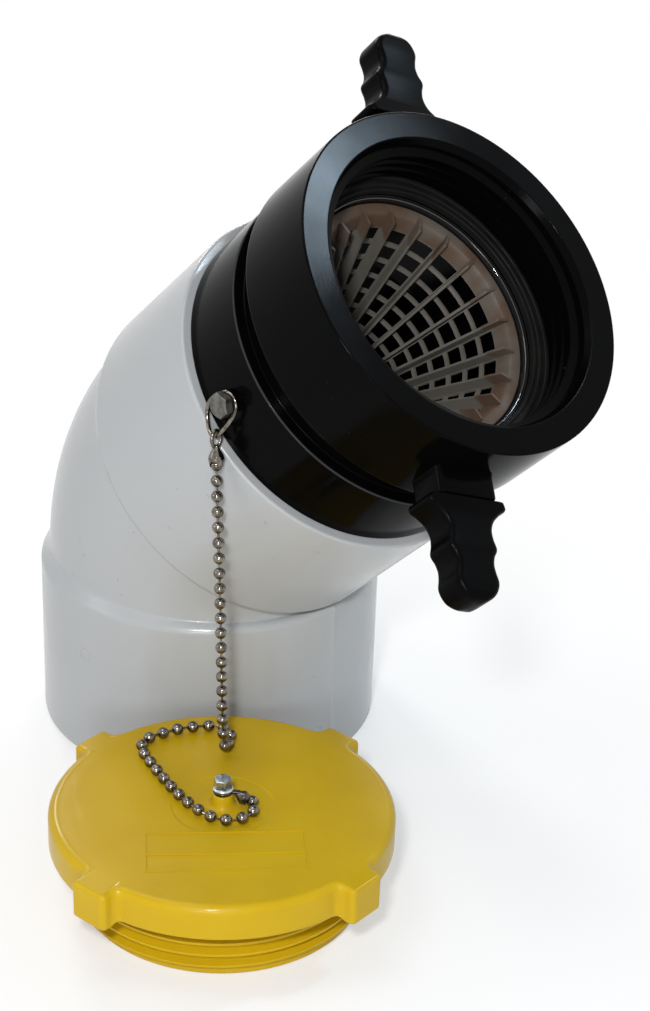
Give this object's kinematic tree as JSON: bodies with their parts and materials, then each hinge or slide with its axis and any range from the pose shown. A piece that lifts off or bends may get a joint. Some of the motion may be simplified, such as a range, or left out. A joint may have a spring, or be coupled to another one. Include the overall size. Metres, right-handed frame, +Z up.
{
  "type": "dry hydrant suction head",
  "caption": "Angled pipe elbow with a free-turning threaded swivel, grips, a snap-in basket strainer and a screw plug tethered by a ball chain.",
  "frame": {"origin": "middle of the base of the box round everything but the chain, on the surface that the elbow and the plug stand on", "axes": "+Z up along the lower pipe's axis, away from the socket; +X towards the side that the outlet leans to"},
  "size_m": [0.3354, 0.3092, 0.3762],
  "materials": {
    "white_pvc": "satin moulded plastic",
    "black_anodised": "satin black anodised",
    "yellow_plastic": "moulded, soft gloss",
    "beige_pvc": "matt, lightly stained",
    "black_rubber": "matt",
    "nickel_steel": "nickel plated",
    "ball_steel": "polished",
    "dark_steel": "darkened",
    "zinc_steel": "zinc plated"
  },
  "bodies": {
    "head": {"elbow": "white_pvc", "adapter_tail": "black_anodised", "tether_screw": "zinc_steel", "race_ball_01": "ball_steel", "race_ball_02": "ball_steel", "race_ball_03": "ball_steel", "race_ball_04": "ball_steel", "race_ball_05": "ball_steel", "race_ball_06": "ball_steel", "race_ball_07": "ball_steel", "race_ball_08": "ball_steel", "race_ball_09": "ball_steel", "race_ball_10": "ball_steel", "race_ball_11": "ball_steel", "race_ball_12": "ball_steel", "tether_link": "nickel_steel", "chain_coupling_upper": "nickel_steel", "chain": "nickel_steel", "chain_coupling_plug": "dark_steel"},
    "swivel": {"swivel_ring": "black_anodised", "grip_upper": "black_anodised", "grip_lower": "black_anodised", "swivel_gasket": "black_rubber", "race_filler_screw": "zinc_steel"},
    "strainer": {"basket_strainer": "beige_pvc"},
    "plug": {"plug": "yellow_plastic", "plug_screw": "zinc_steel", "plug_nut": "zinc_steel"}
  },
  "joints": [
    {"name": "swivel_spin", "type": "hinge", "parent": "head", "child": "swivel", "pos_m": [0.05686, 0.06382, 0.2653], "axis": [0.7071, 0, 0.7071], "continuous": true},
    {"name": "strainer_pull", "type": "slide", "parent": "head", "child": "strainer", "axis": [0.7071, 0, 0.7071], "range_m": [0, 0.135]},
    {"name": "plug_turn", "type": "hinge", "parent": "head", "child": "plug", "pos_m": [0.05857, -0.06207, 0], "axis": [0, 0, 1], "continuous": true}
  ]
}
